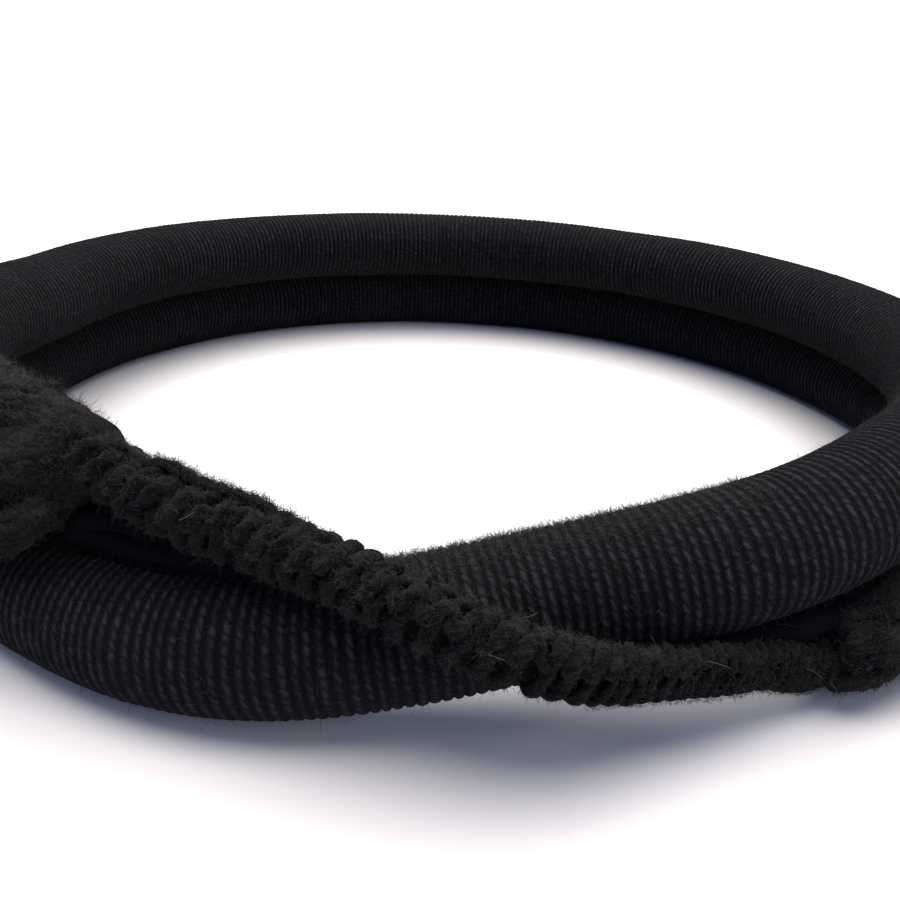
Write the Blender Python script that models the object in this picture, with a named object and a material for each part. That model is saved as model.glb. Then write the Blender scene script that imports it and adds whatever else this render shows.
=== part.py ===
"""Igal head cord: a thick wound cord in two stacked turns, whose wrapped ends are joined across the
front by a thinner stitched link.

Metres, +Z up, the front at -Y. The origin is at the middle of the ring, on the surface it lies on.
Angles are degrees about +Z from +X, and they keep counting up along the cord: the lower turn begins
below zero at the right of the front, the cord rises across the front at 270, and the upper turn
ends just past 570, at the left of the front.
"""

import math

import bmesh
import bpy
from mathutils import Vector

# The wound cord
CORD_RADIUS = 0.0085
RING_RADIUS = 0.0936  # centreline of the lower turn
UPPER_INSET = 0.0072  # how far the upper turn's centreline lies inside the lower one's
GAP = 0.0003  # between pieces, and between the two turns
CORD_SIDES = 16
CORD_STEP = 5.0  # degrees between the points of the cord

# The rise across the front, from the lower turn to the upper one
FRONT = 270.0
FULL_TURN = 360.0
RISE_BEFORE = 30.0  # degrees of it left of the front
RISE_AFTER = 47.0  # degrees of it right of the front
PUSH_IN = 0.0049  # the link presses the rising cord inwards
PUSH_OFFSET = 3.0  # degrees right of the front
PUSH_SPREAD = 16.5  # degrees

# The cord's two ends, each narrowed to a tail inside its wrapping
TAIL_RADIUS = 0.0052
TAIL_LENGTH = 0.0200
SHOULDER_LENGTH = 0.0006
UPPER_END_SWING = 0.0078  # the upper end swings outwards, over the lower turn
UPPER_SWING_LENGTH = 0.0660
LOWER_END_TUCK = 0.0012  # the lower end lies inwards, under the rising cord
LOWER_END_HEIGHT = 0.0071

# The wrapped ends
UPPER_CAP_RADIUS = 0.0090
UPPER_CAP_LENGTH = 0.0490
UPPER_NOSE_LENGTH = 0.0130  # in which the wrapping narrows to the link
LOWER_CAP_RADIUS = 0.0072
LOWER_CAP_LENGTH = 0.0400
LOWER_NOSE_LENGTH = 0.0055
NOSE_WALL = 0.0011  # how much a nose stands out round the link
CAP_SWELL = 0.5  # the share of the tail's length in which the upper wrapping swells
CAP_STEP = 2.0  # degrees between the points of a wrapping

# The stitched link
LINK_BEFORE = 28.5  # degrees of it left of the front
LINK_AFTER = 24.5  # degrees of it right of the front
LINK_RADIUS = 0.0039
LINK_END_RADIUS = 0.0029  # where it reaches the lower end's wrapping
LINK_NARROWING = 0.5  # the share of its way right of the front in which it narrows
LINK_SIDES = 12
LINK_STEP = 2.5  # degrees between the points of the link
# The link winds round the outside of the rising cord, from on top of it to underneath. Along is
# the share of the link's way, wrap is the angle round the cord's section, from level outwards
# to straight up, and lift is the space under the link as a share of the cord's radius.
LINK_ROUTE = (
    {"along": 0.000, "wrap": 92.0, "lift": 0.82},
    {"along": 0.075, "wrap": 91.0, "lift": 0.58},
    {"along": 0.150, "wrap": 89.0, "lift": 0.37},
    {"along": 0.220, "wrap": 86.0, "lift": 0.18},
    {"along": 0.290, "wrap": 78.0, "lift": 0.03},
    {"along": 0.385, "wrap": 54.0, "lift": 0.00},
    {"along": 0.480, "wrap": 26.0, "lift": 0.00},
    {"along": 0.575, "wrap": 4.0, "lift": 0.00},
    {"along": 0.670, "wrap": -15.0, "lift": 0.00},
    {"along": 0.765, "wrap": -33.0, "lift": 0.00},
    {"along": 0.860, "wrap": -52.0, "lift": 0.08},
    {"along": 0.935, "wrap": -63.0, "lift": 0.24},
    {"along": 1.000, "wrap": -69.0, "lift": 0.40},
)

# How the tubes are worked out
SLOPE_STEP = 0.5  # degrees either side of a point, to find the cord's direction there
NEAR_TURN = 12  # degrees of the rising cord either side of a point that may touch a wrapping
END_STEP_SHARE = 0.1  # of a step: how near each end face lies a point that keeps the face square
SOCKET_OVERRUN = 4.0  # gaps by which a socket's cutter stands out of the rim
WELD = 0.00001
SHARP_EDGE = 40.0  # degrees

WOUND_YARN = {"name": "wound_mohair_yarn", "colour": (0.020, 0.020, 0.023, 1.0), "roughness": 0.85}
STITCHED_YARN = {"name": "stitched_wool_yarn", "colour": (0.026, 0.025, 0.026, 1.0), "roughness": 0.95}
WRAPPED_YARN = {"name": "wrapped_wool_yarn", "colour": (0.024, 0.023, 0.025, 1.0), "roughness": 0.95}


def degrees_of(length):
    """The angle that a length takes along the ring."""
    return math.degrees(length / RING_RADIUS)


RISE_START = FRONT - RISE_BEFORE
RISE_END = FRONT + RISE_AFTER
LINK_START = FRONT - LINK_BEFORE
LINK_END = FRONT + LINK_AFTER
UPPER_NOSE = LINK_START + FULL_TURN
UPPER_RIM = UPPER_NOSE - degrees_of(UPPER_CAP_LENGTH)
LOWER_NOSE = LINK_END - FULL_TURN
LOWER_RIM = LOWER_NOSE + degrees_of(LOWER_CAP_LENGTH)
TAIL_TURN = degrees_of(TAIL_LENGTH)


def smooth_share(value, start, end):
    """0 at start and beyond it, 1 at end and beyond it, and an even S-curve between them."""
    share = min(max((value - start) / (end - start), 0.0), 1.0)
    return share * share * (3.0 - 2.0 * share)


def blend(first, last, share):
    return first + (last - first) * share


def flat_radius(radius):
    """From the middle of the cord's faceted tube to its flats."""
    return radius * math.cos(math.pi / CORD_SIDES)


def ring_reach(angle):
    """How far the cord's centreline lies from the ring's axis."""
    push = PUSH_IN * math.exp(-(((angle - FRONT - PUSH_OFFSET) / PUSH_SPREAD) ** 2))
    tuck = LOWER_END_TUCK * smooth_share(angle, LOWER_RIM, LOWER_RIM - TAIL_TURN)
    inset = upper_inset(angle) * smooth_share(angle, RISE_START, RISE_END)
    return RING_RADIUS - push - tuck - inset


def upper_inset(angle):
    swing = smooth_share(angle, UPPER_RIM - degrees_of(UPPER_SWING_LENGTH), UPPER_RIM)
    return UPPER_INSET - UPPER_END_SWING * swing


def upper_lift(angle):
    """How far the upper turn's centreline lies over the lower turn's, on which it rests."""
    swell = smooth_share(angle, UPPER_RIM - TAIL_TURN, UPPER_RIM)
    spacing = CORD_RADIUS + blend(CORD_RADIUS, UPPER_CAP_RADIUS, swell) + GAP
    return math.sqrt(spacing * spacing - upper_inset(angle) ** 2)


def cord_centre(angle):
    """A point of the wound cord's centreline."""
    sink = smooth_share(angle, LOWER_RIM, LOWER_RIM - TAIL_TURN)
    base = blend(flat_radius(CORD_RADIUS), LOWER_END_HEIGHT, sink)
    height = base + upper_lift(angle) * smooth_share(angle, RISE_START, RISE_END)
    turn = math.radians(angle)
    reach = ring_reach(angle)
    return Vector((reach * math.cos(turn), reach * math.sin(turn), height))


def cord_frame(angle):
    """The cord's centre, and the directions outwards and upwards across it."""
    centre = cord_centre(angle)
    along = (cord_centre(angle + SLOPE_STEP) - cord_centre(angle - SLOPE_STEP)).normalized()
    outwards = Vector((centre.x, centre.y, 0.0))
    outwards = (outwards - along * outwards.dot(along)).normalized()
    return centre, outwards, outwards.cross(along)


def route_value(along, column):
    """A column of the link's route at any share of its way: a smooth curve through the rows, which
    runs straight on past the first and the last."""
    shares = [row["along"] for row in LINK_ROUTE]
    values = [row[column] for row in LINK_ROUTE]
    last = len(shares) - 1
    slopes = []
    for i in range(last + 1):
        before = max(i - 1, 0)
        after = min(i + 1, last)
        slopes.append((values[after] - values[before]) / (shares[after] - shares[before]))
    if along < shares[0]:
        return values[0] + slopes[0] * (along - shares[0])
    if along > shares[last]:
        return values[last] + slopes[last] * (along - shares[last])
    row = 0
    while row < last - 1 and along > shares[row + 1]:
        row += 1
    width = shares[row + 1] - shares[row]
    t = (along - shares[row]) / width
    rest = 1.0 - t
    return (
        values[row] * (1.0 + 2.0 * t) * rest * rest
        + slopes[row] * width * t * rest * rest
        + values[row + 1] * (3.0 - 2.0 * t) * t * t
        - slopes[row + 1] * width * t * t * rest
    )


def link_radius(angle):
    narrow_from = blend(FRONT, LINK_END, LINK_NARROWING)
    return blend(LINK_RADIUS, LINK_END_RADIUS, smooth_share(angle, FRONT, narrow_from))


def link_centre(angle):
    """A point of the link's centreline, or of its ends carried straight on."""
    along = (angle - LINK_START) / (LINK_END - LINK_START)
    wrap = math.radians(route_value(along, "wrap"))
    centre, outwards, upwards = cord_frame(angle)
    reach = CORD_RADIUS * (1.0 + route_value(along, "lift")) + link_radius(angle) + GAP
    return centre + reach * (math.cos(wrap) * outwards + math.sin(wrap) * upwards)


def upper_cap_centre(angle):
    """The upper wrapping follows the cord, then bends up to the link at its nose."""
    share = smooth_share(angle, UPPER_NOSE - degrees_of(UPPER_NOSE_LENGTH + GAP), UPPER_NOSE)
    return cord_centre(angle).lerp(link_centre(angle - FULL_TURN), share)


def lower_cap_centre(angle):
    """The lower wrapping follows the cord, then bends out to the link at its nose."""
    share = smooth_share(angle, LOWER_NOSE + degrees_of(LOWER_NOSE_LENGTH + GAP), LOWER_NOSE)
    return cord_centre(angle).lerp(link_centre(angle + FULL_TURN), share)


def upper_cap_radius(angle):
    swell = smooth_share(angle, UPPER_RIM, UPPER_RIM + CAP_SWELL * TAIL_TURN)
    full = blend(CORD_RADIUS, UPPER_CAP_RADIUS, swell)
    narrowing = smooth_share(angle, UPPER_NOSE - degrees_of(UPPER_NOSE_LENGTH), UPPER_NOSE)
    return blend(full, LINK_RADIUS + NOSE_WALL, narrowing)


def room_under_rise(centre, angle):
    """How fat a wrapping may be at this point before it meets the rising cord or the surface."""
    near = [cord_centre(angle + FULL_TURN + turn) for turn in range(-NEAR_TURN, NEAR_TURN + 1)]
    space = min((centre - point).length for point in near) - CORD_RADIUS - GAP
    return min(space, centre.z / math.cos(math.pi / CORD_SIDES))


def lower_cap_radius(angle):
    narrowing = smooth_share(angle, LOWER_NOSE + degrees_of(LOWER_NOSE_LENGTH), LOWER_NOSE)
    narrowed = smooth_share(angle, LOWER_RIM, LOWER_RIM - TAIL_TURN)
    room = room_under_rise(lower_cap_centre(angle), angle)
    full = min(blend(CORD_RADIUS, LOWER_CAP_RADIUS, narrowed), room)
    return blend(full, LINK_END_RADIUS + NOSE_WALL, narrowing)


def angles_between(start, end, step):
    """Even angles from start to end, with one close to each end so that the end faces are square."""
    count = max(round((end - start) / step), 2)
    even = [blend(start, end, i / count) for i in range(count + 1)]
    square = END_STEP_SHARE * (even[1] - even[0])
    return [even[0], even[0] + square, *even[1:-1], even[-1] - square, even[-1]]


def new_collection(name):
    collection = bpy.data.collections.new(name)
    bpy.context.scene.collection.children.link(collection)
    return collection


def yarn_material(yarn):
    material = bpy.data.materials.new(yarn["name"])
    material.use_nodes = True
    shader = material.node_tree.nodes["Principled BSDF"]
    shader.inputs["Base Color"].default_value = yarn["colour"]
    shader.inputs["Roughness"].default_value = yarn["roughness"]
    shader.inputs["Metallic"].default_value = 0.0
    return material


def tube(name, collection, stations, sides):
    """A closed round tube through stations of (centre, radius), with a flat facet underneath."""
    curve = bpy.data.curves.new(name, "CURVE")
    curve.dimensions = "3D"
    curve.twist_mode = "Z_UP"
    curve.bevel_depth = 1.0  # each point's own radius sets its size
    curve.bevel_resolution = (sides - 4) // 2
    curve.use_fill_caps = True
    spline = curve.splines.new("POLY")
    spline.points.add(len(stations) - 1)
    for point, (centre, radius) in zip(spline.points, stations):
        point.co = (*centre, 1.0)
        point.radius = radius
        point.tilt = math.pi / sides
    spline.use_smooth = True
    piece = bpy.data.objects.new(name, curve)
    collection.objects.link(piece)
    return piece


def as_mesh(piece, collection):
    """The curve object made a closed mesh object of the same name."""
    name = piece.name
    graph = bpy.context.evaluated_depsgraph_get()
    mesh = bpy.data.meshes.new_from_object(piece.evaluated_get(graph))
    bm = bmesh.new()
    bm.from_mesh(mesh)
    bmesh.ops.remove_doubles(bm, verts=bm.verts, dist=WELD)
    bmesh.ops.recalc_face_normals(bm, faces=bm.faces)
    bm.to_mesh(mesh)
    bm.free()
    bpy.data.objects.remove(piece)
    solid = bpy.data.objects.new(name, mesh)
    collection.objects.link(solid)
    return solid


def make_wound_cord(collection):
    """The padded core and its winding, one cord from its lower tail to its upper tail."""
    shoulder = degrees_of(SHOULDER_LENGTH)
    clear = degrees_of(GAP)
    lower_full = LOWER_RIM + clear + shoulder
    upper_full = UPPER_RIM - clear - shoulder
    stations = []
    for angle in angles_between(LOWER_RIM - TAIL_TURN, LOWER_RIM + clear, CORD_STEP):
        stations.append((cord_centre(angle), TAIL_RADIUS))
    for angle in angles_between(lower_full, upper_full, CORD_STEP):
        stations.append((cord_centre(angle), CORD_RADIUS))
    for angle in angles_between(UPPER_RIM - clear, UPPER_RIM + TAIL_TURN, CORD_STEP):
        stations.append((cord_centre(angle), TAIL_RADIUS))
    cord = tube("wound_cord", collection, stations, CORD_SIDES)
    cord.data.materials.append(yarn_material(WOUND_YARN))


def make_cap(name, parts, cutters, stations, tail_stations):
    """A wrapped end: a tapered sleeve with a blind socket that holds the cord's tail."""
    cap = as_mesh(tube(name, parts, stations, CORD_SIDES), parts)
    socket = as_mesh(tube(name + "_socket", cutters, tail_stations, CORD_SIDES), cutters)
    socket.hide_render = True
    socket.display_type = "WIRE"
    cut = cap.modifiers.new("socket", "BOOLEAN")
    cut.object = socket
    cut.operation = "DIFFERENCE"
    cap.data.shade_smooth()
    cap.data.set_sharp_from_angle(angle=math.radians(SHARP_EDGE))
    cap.data.materials.append(yarn_material(WRAPPED_YARN))


def socket_stations(rim, end):
    """The tail's stations with its clearance, from outside the rim to just past the tail's end."""
    past = degrees_of(GAP) if end > rim else -degrees_of(GAP)
    first, last = sorted((rim - SOCKET_OVERRUN * past, end + past))
    return [(cord_centre(angle), TAIL_RADIUS + GAP) for angle in angles_between(first, last, CORD_STEP)]


def make_upper_end_cap(parts, cutters):
    nose = UPPER_NOSE - degrees_of(GAP)
    angles = angles_between(UPPER_RIM, nose, CAP_STEP)
    stations = [(upper_cap_centre(angle), upper_cap_radius(angle)) for angle in angles]
    tail = socket_stations(UPPER_RIM, UPPER_RIM + TAIL_TURN)
    make_cap("upper_end_cap", parts, cutters, stations, tail)


def make_lower_end_cap(parts, cutters):
    nose = LOWER_NOSE + degrees_of(GAP)
    angles = angles_between(nose, LOWER_RIM, CAP_STEP)
    stations = [(lower_cap_centre(angle), lower_cap_radius(angle)) for angle in angles]
    tail = socket_stations(LOWER_RIM, LOWER_RIM - TAIL_TURN)
    make_cap("lower_end_cap", parts, cutters, stations, tail)


def make_stitched_link(collection):
    """The thinner cord that joins the wrapped ends, over the outside of the rising cord."""
    clear = degrees_of(GAP)
    angles = angles_between(LINK_START + clear, LINK_END - clear, LINK_STEP)
    stations = [(link_centre(angle), link_radius(angle)) for angle in angles]
    link = tube("stitched_link", collection, stations, LINK_SIDES)
    link.data.materials.append(yarn_material(STITCHED_YARN))


def main():
    for old in list(bpy.data.objects):
        bpy.data.objects.remove(old)
    parts = new_collection("igal_head_cord")
    cutters = new_collection("cutters")
    cutters.hide_render = True
    make_wound_cord(parts)
    make_upper_end_cap(parts, cutters)
    make_lower_end_cap(parts, cutters)
    make_stitched_link(parts)


main()
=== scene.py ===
"""Igal head cord: its wound, stitched and wrapped yarn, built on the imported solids.

Metres, +Z up, the front at -Y. Angles are degrees about +Z from +X, and they keep counting up along
the cord: the lower turn begins below zero at the right of the front, the cord rises across the front
at 270, and the upper turn ends just past 570, at the left of the front.
"""

import logging
import math
from dataclasses import dataclass, field
from enum import Enum

import bmesh
import bpy
import numpy as np
from mathutils import Matrix, Vector


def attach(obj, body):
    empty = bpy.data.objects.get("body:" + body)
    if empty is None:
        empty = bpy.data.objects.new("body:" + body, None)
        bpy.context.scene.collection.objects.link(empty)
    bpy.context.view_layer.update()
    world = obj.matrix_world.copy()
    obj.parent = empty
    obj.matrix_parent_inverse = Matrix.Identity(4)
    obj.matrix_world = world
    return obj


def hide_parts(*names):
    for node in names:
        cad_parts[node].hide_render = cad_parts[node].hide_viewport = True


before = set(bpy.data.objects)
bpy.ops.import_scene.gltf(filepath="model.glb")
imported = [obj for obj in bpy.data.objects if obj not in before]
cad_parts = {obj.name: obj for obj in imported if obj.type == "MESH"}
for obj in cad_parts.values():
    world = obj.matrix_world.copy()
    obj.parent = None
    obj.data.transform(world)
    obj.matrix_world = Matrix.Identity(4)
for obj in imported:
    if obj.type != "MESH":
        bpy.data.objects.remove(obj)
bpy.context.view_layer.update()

LOG = logging.getLogger("igal_head_cord")
Array = np.ndarray
NodeTree, Socket = bpy.types.NodeTree, bpy.types.NodeSocket
Material, Piece = bpy.types.Material, bpy.types.Object
FULL_TURN = 360.0
MM = 0.001
UV_NAME = "yarn"
WELD = 1e-6


def smooth_share(value: Array, start: float, end: float) -> Array:
    """An even S-curve between two values.

    Args:
        value: Where to read the curve.
        start: At it and beyond it the share is 0.
        end: At it and beyond it the share is 1.

    Returns:
        The share at each value.
    """
    share = np.clip((value - start) / (end - start), 0.0, 1.0)
    return share * share * (3.0 - 2.0 * share)


def blend(first: Array, last: Array, share: Array) -> Array:
    """Straight blend from first to last."""
    return first + (last - first) * share


def unit(vectors: Array) -> Array:
    """The same directions, one long."""
    return vectors / np.maximum(np.linalg.norm(vectors, axis=-1, keepdims=True), 1e-12)


def square_to(vectors: Array, axis: Array) -> Array:
    """The part of each vector that is square to its axis, one long."""
    return unit(vectors - axis * (vectors * axis).sum(-1, keepdims=True))


def wander(rng: np.random.Generator, count: int, step: int, columns: int = 1) -> Array:
    """A smooth random walk about zero, for the unevenness of hand work.

    Args:
        rng: The source of the draws.
        count: How many values to give.
        step: How many values lie between two draws.
        columns: How many walks to give side by side.

    Returns:
        An array of count rows and the columns, mostly between -1 and 1.
    """
    knots = rng.normal(0.0, 0.5, (count // step + 4, columns))
    place = np.arange(count) / step
    row = place.astype(int)
    t = (place - row)[:, None]
    first, second, third, fourth = (knots[row + k] for k in range(4))
    curve = 2.0 * second + (third - first) * t
    curve += (2.0 * first - 5.0 * second + 4.0 * third - fourth) * t**2
    curve += (3.0 * second - first - 3.0 * third + fourth) * t**3
    return 0.5 * curve


@dataclass(frozen=True)
class Sections:
    """Cross-sections along a cord: their centres and the directions across them."""

    centre: Array
    outwards: Array
    upwards: Array

    @classmethod
    def along(cls, centre: Array) -> "Sections":
        """Sections of a path round the ring, square to it.

        Args:
            centre: The points of the path.

        Returns:
            The sections, whose outwards points away from the ring's axis.
        """
        tangent = unit(np.gradient(centre, axis=0))
        outwards = square_to(centre * (1.0, 1.0, 0.0), tangent)
        return cls(centre, outwards, np.cross(outwards, tangent))

    def point(self, turn: Array, reach: Array) -> Array:
        """Points round each section.

        Args:
            turn: Radians from outwards to upwards, one column for each point.
            reach: How far each lies from the centre.

        Returns:
            The points, sections by columns by three.
        """
        across = np.cos(turn)[..., None] * self.outwards[:, None]
        across = across + np.sin(turn)[..., None] * self.upwards[:, None]
        return self.centre[:, None] + np.asarray(reach)[..., None] * across

    def skin(self, reach: Array) -> Array:
        """Rings round the sections, which stop at the floor and close to a point at both ends.

        Args:
            reach: How far each point lies from its centre, sections by sides.

        Returns:
            The points, the first of each ring at the underside.
        """
        sides = reach.shape[1]
        spot = -0.5 * math.pi + np.arange(sides) * (2.0 * math.pi / sides)
        reach = reach.copy()
        reach[[0, -1]] = 0.0
        rings = self.point(np.broadcast_to(spot, reach.shape), reach)
        rings[..., 2] = np.maximum(rings[..., 2], 0.0)
        return rings


@dataclass(frozen=True)
class CordRoute:
    """The routes of the wound cord, the link and the wrapped ends, as in the solids."""

    cord_radius: float = 0.0085
    ring_radius: float = 0.0936
    upper_inset: float = 0.0072
    gap: float = 0.0003
    cord_sides: int = 16
    front: float = 270.0
    rise_before: float = 30.0
    rise_after: float = 47.0
    push_in: float = 0.0049
    push_offset: float = 3.0
    push_spread: float = 16.5
    tail_radius: float = 0.0052
    tail_length: float = 0.0200
    end_swing: float = 0.0078
    swing_length: float = 0.0660
    end_tuck: float = 0.0012
    lower_end_height: float = 0.0071
    upper_cap_radius: float = 0.0090
    upper_cap_length: float = 0.0490
    upper_nose_length: float = 0.0130
    lower_cap_radius: float = 0.0072
    lower_cap_length: float = 0.0400
    lower_nose_length: float = 0.0055
    nose_wall: float = 0.0011
    cap_swell: float = 0.5
    link_before: float = 28.5
    link_after: float = 24.5
    link_radius: float = 0.0039
    link_end_radius: float = 0.0029
    link_narrowing: float = 0.5
    # The link's rows: the share of its way, the degrees round the cord from outwards to upwards, and
    # how far it stands off the cord in cord radii.
    link_along: tuple[float, ...] = (
        0, 0.075, 0.15, 0.22, 0.29, 0.385, 0.48, 0.575, 0.67, 0.765, 0.86, 0.935, 1,
    )
    link_wrap: tuple[float, ...] = (92, 91, 89, 86, 78, 54, 26, 4, -15, -33, -52, -63, -69)
    link_lift: tuple[float, ...] = (0.82, 0.58, 0.37, 0.18, 0.03, 0, 0, 0, 0, 0, 0.08, 0.24, 0.40)
    slope_step: float = 0.5
    near_turn: int = 12

    def degrees_of(self, length: float) -> float:
        """The angle that a length takes along the ring."""
        return math.degrees(length / self.ring_radius)

    @property
    def link_start(self) -> float:
        """Where the link leaves the upper wrapping."""
        return self.front - self.link_before

    @property
    def link_end(self) -> float:
        """Where the link reaches the lower wrapping."""
        return self.front + self.link_after

    @property
    def upper_nose(self) -> float:
        """Where the upper wrapping ends at the link."""
        return self.link_start + FULL_TURN

    @property
    def upper_rim(self) -> float:
        """Where the upper wrapping begins on the cord."""
        return self.upper_nose - self.degrees_of(self.upper_cap_length)

    @property
    def lower_nose(self) -> float:
        """Where the lower wrapping ends at the link."""
        return self.link_end - FULL_TURN

    @property
    def lower_rim(self) -> float:
        """Where the lower wrapping begins on the cord."""
        return self.lower_nose + self.degrees_of(self.lower_cap_length)

    @property
    def tail_turn(self) -> float:
        """The angle that a tail takes."""
        return self.degrees_of(self.tail_length)

    def inset(self, angle: Array) -> Array:
        """How far the upper turn lies inside the lower one."""
        start = self.upper_rim - self.degrees_of(self.swing_length)
        return self.upper_inset - self.end_swing * smooth_share(angle, start, self.upper_rim)

    def reach(self, angle: Array) -> Array:
        """How far the cord's centreline lies from the ring's axis."""
        push = self.push_in * np.exp(-(((angle - self.front - self.push_offset) / self.push_spread) ** 2))
        tuck = self.end_tuck * smooth_share(angle, self.lower_rim, self.lower_rim - self.tail_turn)
        rise = smooth_share(angle, self.front - self.rise_before, self.front + self.rise_after)
        return self.ring_radius - push - tuck - self.inset(angle) * rise

    def lift(self, angle: Array) -> Array:
        """How far the upper turn's centreline lies over the lower one's."""
        swell = smooth_share(angle, self.upper_rim - self.tail_turn, self.upper_rim)
        spacing = self.cord_radius + blend(self.cord_radius, self.upper_cap_radius, swell) + self.gap
        return np.sqrt(spacing**2 - self.inset(angle) ** 2)

    def cord_centre(self, angle: Array) -> Array:
        """Points of the wound cord's centreline."""
        sink = smooth_share(angle, self.lower_rim, self.lower_rim - self.tail_turn)
        flat = self.cord_radius * math.cos(math.pi / self.cord_sides)
        rise = smooth_share(angle, self.front - self.rise_before, self.front + self.rise_after)
        height = blend(flat, self.lower_end_height, sink) + self.lift(angle) * rise
        turn = np.radians(angle)
        reach = self.reach(angle)
        return np.stack([reach * np.cos(turn), reach * np.sin(turn), height], -1)

    def cord_sections(self, angle: Array) -> Sections:
        """The cord's sections at these angles."""
        centre = self.cord_centre(angle)
        ahead = self.cord_centre(angle + self.slope_step)
        tangent = unit(ahead - self.cord_centre(angle - self.slope_step))
        outwards = square_to(centre * (1.0, 1.0, 0.0), tangent)
        return Sections(centre, outwards, np.cross(outwards, tangent))

    def route_value(self, along: Array, values: tuple[float, ...]) -> Array:
        """A smooth curve through the link's rows, which runs straight on past the ends.

        Args:
            along: The share of the link's way.
            values: One of the link's columns.

        Returns:
            The column's value at each share.
        """
        shares = np.array(self.link_along)
        rows = np.array(values, float)
        last = len(rows) - 1
        before = np.maximum(np.arange(last + 1) - 1, 0)
        after = np.minimum(np.arange(last + 1) + 1, last)
        slopes = (rows[after] - rows[before]) / (shares[after] - shares[before])
        inside = np.clip(along, 0.0, 1.0)
        row = np.clip(np.searchsorted(shares, inside, side="left") - 1, 0, last - 1)
        width = shares[row + 1] - shares[row]
        t = (inside - shares[row]) / width
        rest = 1.0 - t
        curve = rows[row] * (1.0 + 2.0 * t) * rest * rest + slopes[row] * width * t * rest * rest
        curve += rows[row + 1] * (3.0 - 2.0 * t) * t * t - slopes[row + 1] * width * t * t * rest
        beyond = along - inside
        return curve + np.where(beyond < 0, slopes[0], slopes[last]) * beyond

    def link_radius_at(self, angle: Array) -> Array:
        """The link's radius, which narrows right of the front."""
        narrowed = blend(self.front, self.link_end, self.link_narrowing)
        return blend(self.link_radius, self.link_end_radius, smooth_share(angle, self.front, narrowed))

    def link_centre(self, angle: Array) -> Array:
        """Points of the link's centreline, or of its ends carried straight on."""
        along = (angle - self.link_start) / (self.link_end - self.link_start)
        wrap = np.radians(self.route_value(along, self.link_wrap))[:, None]
        lift = self.route_value(along, self.link_lift)
        reach = self.cord_radius * (1.0 + lift) + self.link_radius_at(angle) + self.gap
        return self.cord_sections(angle).point(wrap, reach[:, None])[:, 0]

    def upper_cap_centre(self, angle: Array) -> Array:
        """The upper wrapping follows the cord, then bends up to the link at its nose."""
        start = self.upper_nose - self.degrees_of(self.upper_nose_length + self.gap)
        share = smooth_share(angle, start, self.upper_nose)[:, None]
        return blend(self.cord_centre(angle), self.link_centre(angle - FULL_TURN), share)

    def lower_cap_centre(self, angle: Array) -> Array:
        """The lower wrapping follows the cord, then bends out to the link at its nose."""
        start = self.lower_nose + self.degrees_of(self.lower_nose_length + self.gap)
        share = smooth_share(angle, start, self.lower_nose)[:, None]
        return blend(self.cord_centre(angle), self.link_centre(angle + FULL_TURN), share)

    def upper_cap_radius_at(self, angle: Array) -> Array:
        """The upper wrapping's radius: it swells from the rim and narrows at the nose."""
        swell = smooth_share(angle, self.upper_rim, self.upper_rim + self.cap_swell * self.tail_turn)
        full = blend(self.cord_radius, self.upper_cap_radius, swell)
        start = self.upper_nose - self.degrees_of(self.upper_nose_length)
        return blend(full, self.link_radius + self.nose_wall, smooth_share(angle, start, self.upper_nose))

    def lower_cap_radius_at(self, angle: Array) -> Array:
        """The lower wrapping's radius, as far as the rising cord over it leaves room."""
        centre = self.lower_cap_centre(angle)
        turns = np.arange(-self.near_turn, self.near_turn + 1)
        near = self.cord_centre((angle[:, None] + FULL_TURN + turns).ravel()).reshape(len(angle), -1, 3)
        space = np.linalg.norm(near - centre[:, None], axis=-1).min(1) - self.cord_radius - self.gap
        room = np.minimum(space, centre[:, 2] / math.cos(math.pi / self.cord_sides))
        sunk = smooth_share(angle, self.lower_rim, self.lower_rim - self.tail_turn)
        full = np.minimum(blend(self.cord_radius, self.lower_cap_radius, sunk), room)
        start = self.lower_nose + self.degrees_of(self.lower_nose_length)
        end = self.link_end_radius + self.nose_wall
        return blend(full, end, smooth_share(angle, start, self.lower_nose))


ROUTE = CordRoute()


def linear_colour(code: str) -> tuple[float, float, float, float]:
    """An sRGB hex colour as the linear colour that a shader takes.

    Args:
        code: Six hex digits after a hash.

    Returns:
        Red, green, blue and full opacity.
    """
    parts = [int(code[i : i + 2], 16) / 255.0 for i in (1, 3, 5)]
    parts = [p / 12.92 if p <= 0.04045 else ((p + 0.055) / 1.055) ** 2.4 for p in parts]
    return (*parts, 1.0)


def add_node(tree: NodeTree, kind: str, inputs: dict, **settings: object) -> bpy.types.Node:
    """Adds a node with its settings, values and links.

    Args:
        tree: The tree that it goes into.
        kind: The node's type, without the words ShaderNode in front.
        inputs: A value or another node's output for each input, by its name or number.
        settings: The node's own properties.

    Returns:
        The node.
    """
    node = tree.nodes.new("ShaderNode" + kind)
    for name, value in settings.items():
        setattr(node, name, value)
    for key, value in inputs.items():
        if isinstance(value, Socket):
            tree.links.new(value, node.inputs[key])
        else:
            node.inputs[key].default_value = value
    return node


def arithmetic(tree: NodeTree, operation: str, *values: object) -> Socket:
    """The outcome of a Math node.

    Args:
        tree: The tree that it goes into.
        operation: What it does.
        values: Up to three numbers or other nodes' outputs.

    Returns:
        Its output.
    """
    return add_node(tree, "Math", dict(enumerate(values)), operation=operation).outputs[0]


def dull_material(name: str, roughness: float, sheen: float) -> tuple:
    """A new material without a pattern.

    Args:
        name: Its name.
        roughness: How dull it is.
        sheen: How much its fibre ends catch the light from behind.

    Returns:
        The material, its tree and its shader.
    """
    material = bpy.data.materials.new(name)
    material.use_nodes = True
    shader = material.node_tree.nodes["Principled BSDF"]
    shader.inputs["Roughness"].default_value = roughness
    shader.inputs["Sheen Weight"].default_value = sheen
    return material, material.node_tree, shader


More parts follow.
